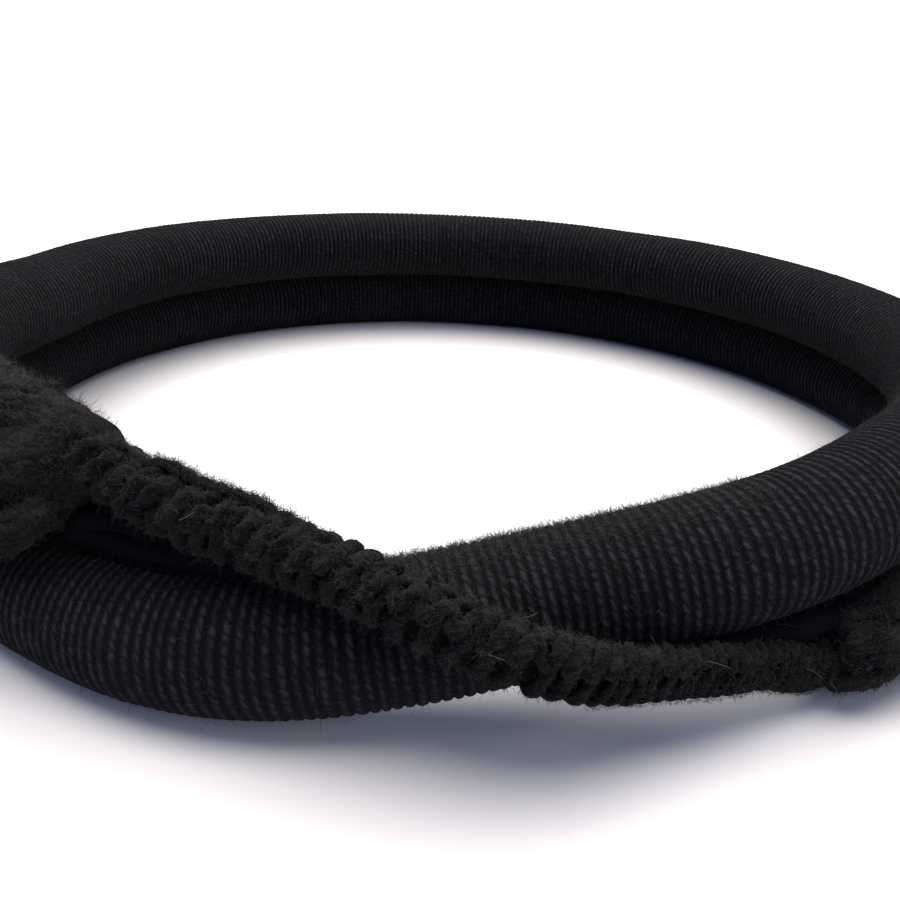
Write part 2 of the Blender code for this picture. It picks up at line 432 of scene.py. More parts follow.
def tint(shader: bpy.types.Node, tree: NodeTree, share: Socket, ends: tuple) -> None:
    """Gives a shader a colour between two.

    Args:
        shader: The shader.
        tree: Its tree.
        share: The pattern, 0 for the first colour and 1 for the second.
        ends: The two sRGB hex colours.
    """
    inputs = {0: share, 6: linear_colour(ends[0]), 7: linear_colour(ends[1])}
    colour = add_node(tree, "Mix", inputs, data_type="RGBA")
    tree.links.new(colour.outputs[2], shader.inputs["Base Color"])


class Winding(Enum):
    """Which way a piece's yarn runs across its UV map."""

    ROUND = "round"  # U runs along the yarn: it is wound round a core
    ALONG = "along"  # V runs along the yarn: the piece is the strand itself


@dataclass(frozen=True)
class YarnFinish:
    """Matt black yarn with its plies, its loose fibres and the soft sheen of their ends."""

    name: str
    shade: str
    light: str
    winding: Winding
    fibre_depth: float  # metres
    fibre_scale: tuple[float, float]  # fibres for one unit of U and of V
    darkest: float  # the pattern's sum that gives the shade
    lightest: float  # and the sum that gives the light
    roughness: float = 0.95
    sheen: float = 0.02
    sheen_roughness: float = 0.5
    plies: float = 0.0  # ply crossings for one unit of the map along the yarn
    ply_slant: float = 0.0  # how far a ply crossing moves on over one yarn
    ply_depth: float = 0.0  # metres
    painted_ply_highlight: float = 0.0  # how much lighter a ply's crest is painted, as highlight, against the fibres' own contrast
    painted_groove_shade: float = 0.0  # how much darker the groove between two yarns is painted, as shade, against the same
    patch_mm: float = 14.0
    patch_tone: float = 0.5  # how far the lighter and darker patches differ, against the fibres
    drift: float = 1.6  # plies by which the twist runs ahead or lags
    drift_scale: float = 700.0  # cells a metre: the drift changes over 1.4 mm
    faintest: float = 0.45  # the height of the faintest ply's crest
    spread: float = 1.1  # and how much higher the brightest's is
    narrowing: float = 3.2  # how narrow the crests are across the yarn
    specular: float = 0.05  # wool has next to no gloss

    @staticmethod
    def wave(tree: NodeTree, phase: Socket) -> Socket:
        """Rounded ridges: 0 at each whole phase and 1 half way between.

        Args:
            tree: The material's tree.
            phase: Where the surface lies among the ridges.

        Returns:
            The ridges' height.
        """
        turned = arithmetic(tree, "MULTIPLY", phase, math.pi)
        return arithmetic(tree, "ABSOLUTE", arithmetic(tree, "SINE", turned))

    def plied(self, tree: NodeTree, place: Socket, length: Socket, across: Socket) -> tuple[Socket, Socket]:
        """The slanting plies of yarns that lie side by side, some painted brighter than others as
        highlight.

        Args:
            tree: The material's tree.
            place: Where the surface lies in the object's space.
            length: The map's coordinate along the yarns.
            across: The map's coordinate across them, which counts the yarns.

        Returns:
            The plies' height, also painted on as highlight, and the yarns' own height between their
            grooves, which paints their shade.
        """
        noise = {"Vector": place, "Scale": self.drift_scale, "Detail": 1.0}
        uneven = add_node(tree, "TexNoise", noise).outputs[0]
        yarn = arithmetic(tree, "FLOOR", across)
        inside = arithmetic(tree, "FRACT", across)
        start = add_node(tree, "TexWhiteNoise", {"W": yarn}, noise_dimensions="1D").outputs[0]
        start = arithmetic(tree, "MULTIPLY_ADD", uneven, self.drift, start)
        slant = arithmetic(tree, "MULTIPLY_ADD", inside, self.ply_slant, start)
        phase = arithmetic(tree, "MULTIPLY_ADD", length, self.plies, slant)
        crest = self.wave(tree, phase)
        groove = self.wave(tree, inside)
        ply = arithmetic(tree, "FLOOR", phase)
        one = add_node(tree, "CombineXYZ", {0: ply, 1: yarn}).outputs[0]
        chance = add_node(tree, "TexWhiteNoise", {"Vector": one}, noise_dimensions="2D").outputs[0]
        bright = arithmetic(tree, "MULTIPLY_ADD", chance, self.spread, self.faintest)
        narrow = arithmetic(tree, "POWER", groove, self.narrowing)
        rounded = arithmetic(tree, "MULTIPLY", crest, narrow)
        return arithmetic(tree, "MULTIPLY", rounded, bright), groove

    def material(self) -> Material:
        """Builds the node material."""
        material, tree, shader = dull_material(self.name, self.roughness, self.sheen)
        shader.inputs["Sheen Roughness"].default_value = self.sheen_roughness
        shader.inputs["Specular IOR Level"].default_value = self.specular
        uv = add_node(tree, "UVMap", {}, uv_map=UV_NAME).outputs[0]
        place = add_node(tree, "TexCoord", {}).outputs["Object"]
        parts = add_node(tree, "SeparateXYZ", {0: uv})
        length, across = parts.outputs[0], parts.outputs[1]
        if self.winding is Winding.ALONG:
            length, across = across, length
        stretched = add_node(tree, "Mapping", {0: uv, "Scale": (*self.fibre_scale, 1.0)}).outputs[0]
        noise = {"Vector": stretched, "Scale": 1.0, "Detail": 3.0, "Roughness": 0.7}
        fibre = add_node(tree, "TexNoise", noise).outputs[0]
        noise = {"Vector": place, "Scale": 1.0 / (self.patch_mm * MM), "Detail": 2.0}
        patch = add_node(tree, "TexNoise", noise).outputs[0]
        tone = arithmetic(tree, "MULTIPLY_ADD", patch, self.patch_tone, fibre)
        fine = add_node(tree, "Bump", {"Height": fibre, "Distance": self.fibre_depth, "Strength": 1.0})
        if self.plies:
            ply_crests, groove = self.plied(tree, place, length, across)
            # Painted highlight: the ply crests lighten the colour, as well as raising the bump.
            tone = arithmetic(tree, "MULTIPLY_ADD", ply_crests, self.painted_ply_highlight, tone)
            # Painted shade: the colour darkens towards the groove between two yarns.
            tone = arithmetic(tree, "MULTIPLY_ADD", groove, self.painted_groove_shade, tone)
            raised = {"Height": ply_crests, "Distance": self.ply_depth, "Strength": 1.0}
            twist = add_node(tree, "Bump", raised)
            tree.links.new(twist.outputs[0], fine.inputs["Normal"])
        share = add_node(tree, "MapRange", {0: tone, 1: self.darkest, 2: self.lightest}).outputs[0]
        tint(shader, tree, share, (self.shade, self.light))
        tree.links.new(fine.outputs[0], shader.inputs["Normal"])
        return material


@dataclass(frozen=True)
class FluffFinish:
    """Loose black wool fibres, a little lighter than the yarn because light passes round them."""

    name: str
    colour: str
    roughness: float
    sheen: float
    dark: str = "#060607"
    tone_scale: float = 700.0  # cells a metre: their tone changes over 1.4 mm

    def material(self) -> Material:
        """Builds the node material."""
        material, tree, shader = dull_material(self.name, self.roughness, self.sheen)
        place = add_node(tree, "TexCoord", {}).outputs["Object"]
        noise = {"Vector": place, "Scale": self.tone_scale, "Detail": 1.0}
        share = add_node(tree, "TexNoise", noise).outputs[0]
        tint(shader, tree, share, (self.dark, self.colour))
        return material


def tube_mesh(name: str, rings: Array, uv: Array) -> Piece:
    """A mesh object of tubes, each of the same number of rings, closed where its end rings are points.

    Args:
        name: The object's name.
        rings: The points, tubes by rings by sides by three.
        uv: The map's place of each ring and side, tubes by rings by sides plus one by two.

    Returns:
        The object, linked to the scene.
    """
    tubes, count, sides, _ = rings.shape
    rows = tubes * count
    bm = bmesh.new()
    bmesh.ops.create_grid(bm, x_segments=sides, y_segments=rows - 1, size=0.5)
    place = np.array([vert.co[:2] for vert in bm.verts]) + 0.5
    side = np.rint(place[:, 0] * sides).astype(int)
    row = np.rint(place[:, 1] * (rows - 1)).astype(int)
    rounded = np.concatenate([rings, rings[:, :, :1]], 2).reshape(rows, sides + 1, 3)
    between = [face for face in bm.faces if count - 1 == min(row[v.index] for v in face.verts) % count]
    bmesh.ops.delete(bm, geom=between, context="FACES_ONLY")
    mesh = bpy.data.meshes.new(name)
    bm.to_mesh(mesh)
    bm.free()
    mesh.vertices.foreach_set("co", rounded[row, side].ravel())
    layer = mesh.uv_layers.new(name=UV_NAME)
    corner = np.empty(len(mesh.loops), int)
    mesh.loops.foreach_get("vertex_index", corner)
    flat_uv = uv.reshape(rows, sides + 1, 2)
    layer.data.foreach_set("uv", flat_uv[row[corner], side[corner]].ravel())
    bm = bmesh.new()
    bm.from_mesh(mesh)
    bmesh.ops.remove_doubles(bm, verts=bm.verts, dist=WELD)
    bmesh.ops.recalc_face_normals(bm, faces=bm.faces)
    bm.to_mesh(mesh)
    bm.free()
    mesh.shade_smooth()
    piece = bpy.data.objects.new(name, mesh)
    bpy.context.scene.collection.objects.link(piece)
    return piece


def yarn_rings(path: Array, facing: Array, radius: Array, sides: int, turns: Array, lobe: float) -> Array:
    """Rings of a two-ply yarn, whose two lobes turn round each other along it.

    Args:
        path: The yarn's centreline.
        facing: A direction at each point that isn't along the path.
        radius: The yarn's radius at each point.
        sides: How many points a ring has.
        turns: How far the plies have turned at each point, in radians.
        lobe: How deep the valleys between the plies are, as a share of the radius.

    Returns:
        The points, with the first and last rings drawn in to points.
    """
    tangent = unit(np.gradient(path, axis=0))
    first = square_to(facing, tangent)
    second = np.cross(tangent, first)
    spot = np.arange(sides) * (2.0 * math.pi / sides)
    reach = radius[:, None] * (1.0 - lobe * 0.5 + lobe * 0.5 * np.cos(2.0 * spot))
    reach[0] = 0.0
    reach[-1] = 0.0
    turn = spot + turns[:, None]
    across = np.cos(turn)[..., None] * first[:, None] + np.sin(turn)[..., None] * second[:, None]
    return path[:, None] + reach[..., None] * across


def arc_length(path: Array) -> Array:
    """How far along the path each of its points lies."""
    steps = np.linalg.norm(np.diff(path, axis=0), axis=-1)
    return np.concatenate([[0.0], np.cumsum(steps)])


def strand_uv(length: Array, sides: int) -> Array:
    """The map of a strand: U once round it, V in millimetres along it."""
    u = np.broadcast_to(np.linspace(0.0, 1.0, sides + 1), (len(length), sides + 1))
    v = np.broadcast_to(length[:, None] / MM, u.shape)
    return np.stack([u, v], -1)


def round_ring(walks: Array, sides: int) -> Array:
    """Spreads walks evenly round a ring, with a smooth way from each to the next.

    Args:
        walks: A row for each ring and a column for each walk.
        sides: How many points a ring has.

    Returns:
        The value at each ring's points.
    """
    count = walks.shape[1]
    place = np.arange(sides) * count / sides
    low = place.astype(int)
    ease = smooth_share(place - low, 0.0, 1.0)
    return walks[:, low % count] * (1.0 - ease) + walks[:, (low + 1) % count] * ease


@dataclass
class Strands:
    """The yarns of one piece, taken up one after another."""

    name: str
    sides: int
    twist: float  # the length in which the plies turn once
    lobe: float  # how deep the valleys between the plies are, as a share of the radius
    paths: list[Array] = field(default_factory=list)
    facings: list[Array] = field(default_factory=list)
    rings: list[Array] = field(default_factory=list)
    maps: list[Array] = field(default_factory=list)

    def add(self, path: Array, facing: Array, radius: Array, offset: float = 0.0) -> None:
        """Takes up one yarn.

        Args:
            path: Its centreline.
            facing: The direction out of the piece at each point.
            radius: Its radius at each point.
            offset: How far on in the pattern it begins.
        """
        length = arc_length(path)
        turns = length * 2.0 * math.pi / self.twist
        self.rings.append(yarn_rings(path, facing, radius, self.sides, turns, self.lobe))
        self.maps.append(strand_uv(length + offset, self.sides))
        self.paths.append(path)
        self.facings.append(facing)

    def piece(self, material: Material) -> Piece:
        """The yarns as one mesh object."""
        piece = tube_mesh(self.name, np.stack(self.rings), np.stack(self.maps))
        piece.data.materials.append(material)
        return piece


def yarn_points(pieces: list[Strands]) -> tuple[Array, Array, Array]:
    """All the yarns' points, and the directions out of their pieces and along the yarns."""
    paths = [path for strands in pieces for path in strands.paths]
    facings = [facing for strands in pieces for facing in strands.facings]
    alongs = [unit(np.gradient(path, axis=0)) for path in paths]
    return np.concatenate(paths), np.concatenate(facings), np.concatenate(alongs)


@dataclass
class Fluff:
    """Loose fibres that stand out of a piece's yarn."""

    name: str
    slot: str
    count: int
    shortest: float
    longest: float
    thickness: float
    lift: float  # how far a fibre stands off the surface, against how far it lies along it
    seed: int
    joints: int = 1
    shortness: float = 2.2  # above 1, short fibres outnumber long ones
    bend: float = 0.75  # how far a fibre's end turns from its start

    def sprout(self, pieces: list[Strands], scatter: float, depth: float) -> tuple[Array, Array, Array]:
        """Picks where the fibres leave a piece's yarns.

        Args:
            pieces: The yarns.
            scatter: How far the fibres' directions stray from straight out of the piece.
            depth: How far from a yarn's middle they begin.

        Returns:
            Their roots, and the directions out of the yarns and along them there.
        """
        path, facing, along = yarn_points(pieces)
        rng = np.random.default_rng(self.seed + 100)
        pick = rng.integers(0, len(path), self.count)
        spread = unit(facing[pick] + rng.normal(0.0, scatter, (self.count, 3)))
        normal = square_to(spread, along[pick])
        return path[pick] + normal * depth, normal, along[pick]

    def build(
        self, root: Array, normal: Array, along: Array, material: Material, share: Array | float = 1.0
    ) -> Piece:
        """Makes the fibres as one mesh.

        Args:
            root: Where each fibre leaves its yarn.
            normal: The direction out of the surface there.
            along: The direction of the yarn there.
            material: The fibres' finish.
            share: How long each fibre is against its usual length.

        Returns:
            The piece.
        """
        rng = np.random.default_rng(self.seed)
        count = len(root)
        spread = rng.random(count) ** self.shortness
        length = share * (self.shortest + (self.longest - self.shortest) * spread)
        side = np.cross(normal, along)
        lean = rng.normal(0.0, 1.0, (count, 2))
        start = unit(normal * self.lift + along * lean[:, :1] + side * lean[:, 1:] * 0.8)
        bend = rng.normal(0.0, self.bend, (count, 3))
        finish = unit(start + bend + normal * 0.10)
        reach = length[:, None] / (self.joints + 1)
        points = [root - normal * self.thickness * 4.0, root + start * reach]
        for joint in range(self.joints):
            heading = unit(blend(start, finish, (joint + 1.0) / self.joints))
            points.append(points[-1] + heading * reach)
        path = np.stack(points, 1)
        path[..., 2] = np.maximum(path[..., 2], self.thickness)
        across = square_to(np.cross(start, normal) + 1e-4, start)
        other = np.cross(start, across)
        spot = np.arange(3) * (2.0 * math.pi / 3.0)
        ring = np.cos(spot)[:, None] * across[:, None] + np.sin(spot)[:, None] * other[:, None]
        size = self.thickness * np.array([0.0, *([1.0] * self.joints), 0.0])
        rings = path[:, :, None] + size[None, :, None, None] * ring[:, None]
        uv = np.zeros((count, len(size), 4, 2))
        piece = tube_mesh(self.name, rings, uv)
        piece.data.materials.append(material)
        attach(piece, "root")
        LOG.info("%s: %d fibres", self.name, count)
        return piece


@dataclass
class WoundCord:
    """The padded core, closely wound with fine yarn, in two runs that meet under the link."""

    pitch: float = 0.00129  # one yarn beside the next
    rib_rise: float = 0.00030
    sides: int = 32
    profile: tuple[float, ...] = (0.0, 0.84, 1.0, 0.84)  # a yarn's height at four places across it
    split: float = 264.0  # the angle at which the lower run ends and the upper begins
    overrun: float = 0.0100  # how far each end runs on inside its wrapping
    width_spread: float = 0.15  # how far the yarns' widths differ
    rise_spread: float = 0.12  # and their heights
    lump: float = 0.00016  # how far the winding's lumps stand out
    lump_columns: int = 8
    lump_step: int = 60  # rings from one lump to the next
    swell: float = 0.00008  # how far the yarns' crests stand past the solid
    tail_thinning: float = 0.0004  # so that the cord's end stays hidden in the wrapping
    seed: int = 5

    def ring_places(self) -> tuple[Array, Array, Array]:
        """Where the rings lie along the whole cord.

        Returns:
            Their angles, their place counted in yarns, and each one's share of the rib's height.
        """
        rng = np.random.default_rng(self.seed)
        run = ROUTE.degrees_of(self.overrun)
        fine = np.arange(ROUTE.lower_rim - run, ROUTE.upper_rim + run, 0.1)
        length = arc_length(ROUTE.cord_centre(fine))
        ribs = int(length[-1] / self.pitch)
        width = 1.0 + rng.uniform(-self.width_spread, self.width_spread, ribs)
        edge = np.concatenate([[0.0], np.cumsum(width)]) * length[-1] / width.sum()
        steps = len(self.profile)
        place = (edge[:-1, None] + np.diff(edge)[:, None] * np.arange(steps) / steps).ravel()
        place = np.append(place, edge[-1])
        count = np.arange(len(place)) / steps
        height = np.append(np.tile(self.profile, ribs), 0.0)
        return np.interp(place, length, fine), count, height

    def radius(self, angle: Array, height: Array) -> Array:
        """The surface's distance from the core's middle, rings by sides.

        Args:
            angle: The rings' angles.
            height: Each ring's share of the rib's height.

        Returns:
            The radii.
        """
        rng = np.random.default_rng(self.seed + 1)
        rows = len(angle)
        slack = smooth_share(angle, ROUTE.lower_rim - 2.0, ROUTE.lower_rim)
        slack = slack * smooth_share(angle, ROUTE.upper_rim + 2.0, ROUTE.upper_rim)
        tail = ROUTE.tail_radius - self.tail_thinning
        base = blend(tail, ROUTE.cord_radius - self.rib_rise + self.swell, slack)
        lumps = round_ring(wander(rng, rows, self.lump_step, self.lump_columns), self.sides)
        yarn = wander(rng, rows, 5, 1) * self.rise_spread
        rise = self.rib_rise * height[:, None] * (1.0 + yarn)
        return base[:, None] + rise + self.lump * (lumps - 0.1)

    def run(self, name: str, angle: Array, count: Array, height: Array) -> Piece:
        """One run of the wound cord.

        Args:
            name: The piece's name.
            angle: The rings' angles.
            count: Their place counted in yarns.
            height: Each one's share of the rib's height.

        Returns:
            The piece.
        """
        ends = [0, *range(len(angle)), len(angle) - 1]
        reach = self.radius(angle, height)[ends]
        angle, count = angle[ends], count[ends]
        rings = ROUTE.cord_sections(angle).skin(reach)
        u = np.broadcast_to(np.linspace(0.0, 1.0, self.sides + 1), (len(angle), self.sides + 1))
        uv = np.stack([u, np.broadcast_to(count[:, None], u.shape)], -1)
        return tube_mesh(name, rings[None], uv[None])

    @staticmethod
    def fluff(down: Fluff, angles: tuple, turns: tuple, material: Material) -> None:
        """Fine loose fibres over a part of the winding.

        Args:
            down: The fibres.
            angles: Where they begin and end along the cord, in degrees.
            turns: And round it, in degrees from outwards to upwards.
            material: The fibres' finish.
        """
        rng = np.random.default_rng(down.seed + 100)
        angle = np.sort(rng.uniform(*angles, down.count))
        turn = np.radians(rng.uniform(*turns, (down.count, 1)))
        sections = ROUTE.cord_sections(angle)
        root = sections.point(turn, np.full(turn.shape, ROUTE.cord_radius - 0.0002))[:, 0]
        normal = unit(root - sections.centre)
        along = np.cross(normal, np.cross(sections.outwards, sections.upwards))
        down.build(root, normal, along, material)

    def crevice(self, material: Material) -> None:
        """The down of both turns, which mats together where the upper one lies on the lower."""
        mat = Fluff(
            "wound_cord_crevice_fluff", "wound_yarn", count=7000, shortest=0.0009, longest=0.0022,
            thickness=0.00006, lift=0.12, seed=23,
        )
        rng = np.random.default_rng(mat.seed + 100)
        angle = np.sort(rng.uniform(ROUTE.link_end + 12.0, ROUTE.upper_rim - 14.0, mat.count))
        upper, lower = ROUTE.cord_sections(angle), ROUTE.cord_centre(angle - FULL_TURN)
        down = unit(lower - upper.centre)
        root = upper.centre + down * (ROUTE.cord_radius + rng.uniform(-0.0001, 0.0004, (mat.count, 1)))
        along = np.cross(upper.outwards, upper.upwards)
        mat.build(root, np.cross(along, down), along, material)

    def build(self, material: Material, fluff: Material) -> None:
        """Makes both runs and their loose fibres.

        Args:
            material: The winding's finish.
            fluff: The fibres' finish.
        """
        angle, count, height = self.ring_places()
        steps = len(self.profile)
        split = int(np.argmin(np.abs(angle - self.split)) // steps * steps)
        lower = self.run("wound_cord_lower", angle[: split + 1], count[: split + 1], height[: split + 1])
        upper = self.run("wound_cord_upper", angle[split:], count[split:], height[split:])
        for piece in (lower, upper):
            piece.data.materials.append(material)
            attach(piece, "root")
            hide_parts("wound_cord")
            LOG.info("%s: %d faces", piece.name, len(piece.data.polygons))
        down = Fluff(
            "wound_cord_fluff", "wound_yarn", count=28000, shortest=0.0005, longest=0.0026,
            thickness=0.000026, lift=0.55, seed=21,
        )
        self.fluff(down, (ROUTE.lower_rim, ROUTE.upper_rim), (0.0, FULL_TURN), fluff)
        halo = Fluff(
            "wound_cord_crossing_fluff", "wound_yarn", count=7500, shortest=0.0007, longest=0.0021,
            thickness=0.000022, lift=0.8, seed=25,
        )
        self.fluff(halo, (262.0, 292.0), (70.0, 150.0), fluff)
        self.crevice(fluff)


@dataclass
class StitchedLink:
    """A cord worked over with buttonhole stitches of thick yarn, finer towards its lower end."""

    yarn_radius: float = 0.00105
    end_yarn_radius: float = 0.00056
    pitch: float = 0.0027
    end_pitch: float = 0.00175
    fine_from: float = 268.0
    fine_to: float = 280.0
    spine: float = 54.0  # degrees from outwards to upwards, where the stitches knot
    end_sag: float = 0.0019  # how far its lower end hangs below the line of the link
    pitch_spread: float = 0.2
    lean: float = 11.0  # degrees that a stitch leans round the link at most
    swing: float = 17.0  # degrees that a knot swings to each side
    moves_on: tuple[float, float] = (0.34, 0.66)  # the part of its turn in which a stitch moves on
    bar: float = 0.085  # turns over which a stitch lies as a raised bar over the spine
    lobe: float = 0.30
    wrap_twist: float = 0.0052
    knot_twist: float = 0.0046
    edge_twist: float = 0.0040
    edge_radius: float = 0.00085
    edge_turn: float = 104.0  # degrees from outwards to upwards
    edge_end: float = 259.0
    edge_samples: int = 260
    underlay_twist: float = 0.009
    underlay_lobe: float = 0.16
    underlay_strands: int = 9
    underlay_samples: int = 60
    core_samples: int = 120
    core_sides: int = 16
    samples: int = 36
    knot_samples: int = 12
    sides: int = 10
    seed: int = 11

    def fineness(self, angle: Array) -> Array:
        """0 where the stitches are coarse and 1 where they are fine."""
        return smooth_share(np.asarray(angle, float), self.fine_from, self.fine_to)

    def stitch_starts(self) -> Array:
        """The angles at which the stitches start, with the uneven spacing of hand work."""
        rng = np.random.default_rng(self.seed)
        fine = np.arange(ROUTE.link_start - 2.0, ROUTE.link_end + 2.0, 0.05)
        length = arc_length(ROUTE.link_centre(fine))
        starts = [0.0]
        while starts[-1] < length[-1]:
            here = float(np.interp(starts[-1], length, fine))
            pitch = blend(self.pitch, self.end_pitch, self.fineness(here))
            uneven = rng.uniform(-self.pitch_spread, self.pitch_spread)
            starts.append(starts[-1] + float(pitch) * (1.0 + uneven))
        return np.interp(starts[:-1], length, fine)

    def strand(
        self, name: str, angle: Array, turn: Array, reach: Array, radius: Array, twist: float
    ) -> Strands:
        """A yarn from its place round the link.

        Args:
            name: The piece's name.
            angle: Where each point lies along the link.
            turn: Radians round the link from outwards to upwards.
            reach: How far the yarn's middle lies from the link's.
            radius: The yarn's radius.
            twist: The length in which the plies turn once, in metres.

        Returns:
            The yarn, as the one strand of a piece.
        """
        dense = np.linspace(angle.min(), angle.max(), 1200)
        sections = Sections.along(ROUTE.link_centre(dense))
        columns = [sections.centre, sections.outwards, sections.upwards]
        centre, outwards, upwards = (
            np.stack([np.interp(angle, dense, column[:, k]) for k in range(3)], -1) for column in columns
        )
        facing = np.cos(turn)[:, None] * outwards + np.sin(turn)[:, None] * upwards
        path = centre + reach[:, None] * facing
        sag = self.end_sag * smooth_share(angle, ROUTE.link_end - 6.5, ROUTE.link_end - 1.0)
        path[:, 2] = path[:, 2] - sag
        strands = Strands(name, self.sides, twist, self.lobe)
        strands.add(path, facing, radius)
        return strands

    def stitches(self) -> Strands:
        """The stitching yarn: a wrap round the core, then an oblique bar over the spine."""
        rng = np.random.default_rng(self.seed + 1)
        starts = self.stitch_starts()
        count = len(starts) - 1
        t = np.arange(self.samples) / self.samples
        advance = smooth_share(t, *self.moves_on)
        angle = (starts[:-1, None] + np.diff(starts)[:, None] * advance).ravel()
        lean = np.radians(rng.uniform(-self.lean, self.lean, count))
        turn = math.radians(self.spine) + 2.0 * math.pi * (t - 0.5)
        turn = (turn + lean[:, None]).ravel()
        turn = np.unwrap(turn)
        fineness = self.fineness(angle)
        size = np.repeat(1.0 + rng.uniform(-0.16, 0.12, count), self.samples)
        radius = blend(self.yarn_radius, self.end_yarn_radius, fineness) * size
        hump = np.exp(-(((t - 0.5) / self.bar) ** 2))
        raised = (rng.uniform(0.45, 1.0, count)[:, None] * hump).ravel() * radius
        reach = ROUTE.link_radius_at(angle) - radius + raised
        return self.strand("stitched_link_wraps", angle, turn, reach, radius, self.wrap_twist)

    def purl(self) -> Strands:
        """The knots along the spine, where each stitch catches the one before."""
        rng = np.random.default_rng(self.seed + 2)
        starts = self.stitch_starts()
        count = len(starts) - 1
        samples = self.knot_samples
        t = np.arange(samples) / samples
        angle = (starts[:-1, None] + np.diff(starts)[:, None] * t).ravel()
        wave = np.tile(2.0 * math.pi * t, count)
        swing = np.radians(self.swing) * np.repeat(rng.uniform(0.5, 1.5, count), samples)
        fineness = self.fineness(angle)
        turn = np.radians(self.spine + blend(-12.0, 10.0, fineness)) + swing * np.sin(wave)
        radius = blend(0.92 * self.yarn_radius, 1.65 * self.end_yarn_radius, fineness)
        radius = radius * np.repeat(rng.uniform(0.75, 1.15, count), samples)
        reach = ROUTE.link_radius_at(angle) + radius * (0.35 + 0.55 * np.cos(wave))
        return self.strand("stitched_link_knots", angle, turn, reach, radius, self.knot_twist)

    def edge(self) -> Strands:
        """The thin strand along the top edge, left of the crossing."""
        rng = np.random.default_rng(self.seed + 3)
        count = self.edge_samples
        angle = np.linspace(ROUTE.link_start - 1.0, self.edge_end, count)
        turn = np.radians(self.edge_turn + 5.0 * wander(rng, count, 26)[:, 0])
        radius = np.full(count, self.edge_radius)
        reach = ROUTE.link_radius_at(angle) + 0.0001 + 0.0003 * wander(rng, count, 17)[:, 0]
        reach = reach - 0.0016 * smooth_share(angle, self.edge_end - 5.0, self.edge_end)
        reach = reach - 0.0014 * smooth_share(angle, ROUTE.link_start + 5.0, ROUTE.link_start)
        return self.strand("stitched_link_edge", angle, turn, reach, radius, self.edge_twist)

    def core(self, material: Material) -> Piece:
        """The cord inside the stitches, which only shows as the dark between them."""
        angle = np.linspace(ROUTE.link_start - 1.0, ROUTE.link_end + 1.0, self.core_samples)
        sections = Sections.along(ROUTE.link_centre(angle))
        yarn = blend(self.yarn_radius, self.end_yarn_radius, self.fineness(angle))
        radius = ROUTE.link_radius_at(angle) - 1.5 * yarn
        length, sides = arc_length(sections.centre), self.core_sides
        rings = yarn_rings(sections.centre, sections.outwards, radius, sides, length * 0.0, 0.0)
        piece = tube_mesh("stitched_link_core", rings[None], strand_uv(length, sides)[None])
        piece.data.materials.append(material)
        return piece

    def underlay(self, name: str, first: float, last: float, setback: float) -> Strands:
        """The tangle of loose yarn that fills the space between the link and the cord beside an end.

        Args:
            name: The piece's name.
            first: The angle at which it begins.
            last: The angle at which it ends.
            setback: How far it lies inwards from the line between the link and the cord.

        Returns:
            Its yarns.
        """
        count = self.underlay_samples
        rng = np.random.default_rng(self.seed + round(first))
        angle = np.linspace(first, last, count)
        along = (angle - ROUTE.link_start) / (ROUTE.link_end - ROUTE.link_start)
        space = ROUTE.cord_radius * np.maximum(ROUTE.route_value(along, ROUTE.link_lift), 0.0)
        wrap = np.radians(ROUTE.route_value(along, ROUTE.link_wrap))[:, None]
        cord = ROUTE.cord_sections(angle)
        middle = cord.point(wrap, (ROUTE.cord_radius + 0.45 * space)[:, None])[:, 0]
        middle = middle - cord.outwards * setback
        sections = Sections.along(middle)
        strands = Strands(name, self.sides, self.underlay_twist, self.underlay_lobe)
        for strand in range(self.underlay_strands + 1):
            swing = wander(rng, count, 11, 3)
            turn = 2.0 * math.pi * strand / self.underlay_strands + 0.9 * swing[:, 0]
            off = (0.34 * space + 0.0004) * (1.0 + 0.25 * swing[:, 1])
            size = (0.0009 + 0.10 * space) * (1.0 + 0.15 * swing[:, 2])
            if strand == self.underlay_strands:  # the one in the middle, which stops the light
                off, size = off * 0.0 + 0.00005, 0.0008 + 0.36 * space
            path = sections.point(turn[:, None], off[:, None])[:, 0]
            strands.add(path, unit(path - middle), size)
        return strands

    def build(self, material: Material, padding: Material, fluff: Material, stray: Material) -> None:
        """Makes the core, the stitches, the knots, the edge strand, the underlays and loose fibres.

        Args:
            material: The stitching yarn's finish.
            padding: The finish of the core and the underlays: near-black, darker than the yarns, as painted
                shade.
            fluff: The fibres' finish.
            stray: The finish of the few bright ones.
        """
        made = [self.stitches(), self.purl(), self.edge()]
        first, last = ROUTE.link_start - 3.0, ROUTE.link_end + 3.0
        under = [
            self.underlay("stitched_link_upper_underlay", first, 259.0, 0.0016),
            self.underlay("stitched_link_lower_underlay", 279.0, last, -0.0008),
        ]
        # The core and the underlays take the near-black padding: painted shade for the gaps between and
        # beside the stitches.
        pieces = [self.core(padding), *(one.piece(material) for one in made)]
        pieces.extend(one.piece(padding) for one in under)
        for piece in pieces:
            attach(piece, "root")
            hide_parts("stitched_link")
            LOG.info("%s: %d faces", piece.name, len(piece.data.polygons))
        wool = Fluff(
            "stitched_link_fluff", "stitched_yarn", count=23000, shortest=0.0008, longest=0.0023,
            thickness=0.000022, lift=0.40, seed=31,
        )
        root, normal, along = wool.sprout(made, 0.6, 0.0006)
        right = smooth_share(root[:, 0], -0.004, 0.012)  # where the finer stitches lie closer in
        wool.build(root, normal, along, fluff, 1.0 - 0.50 * right)
        strays = Fluff(
            "stitched_link_stray_fibres", "stitched_yarn", count=17, shortest=0.0020, longest=0.0048,
            thickness=0.000022, lift=0.25, seed=37, joints=4,
        )
        path, facing, along = yarn_points(made)
        stride = len(path) // strays.count
        few = np.arange(strays.count) * stride
        outwards = square_to(facing[few], along[few])
        strays.build(path[few] + outwards * 0.0008, outwards, along[few], stray)


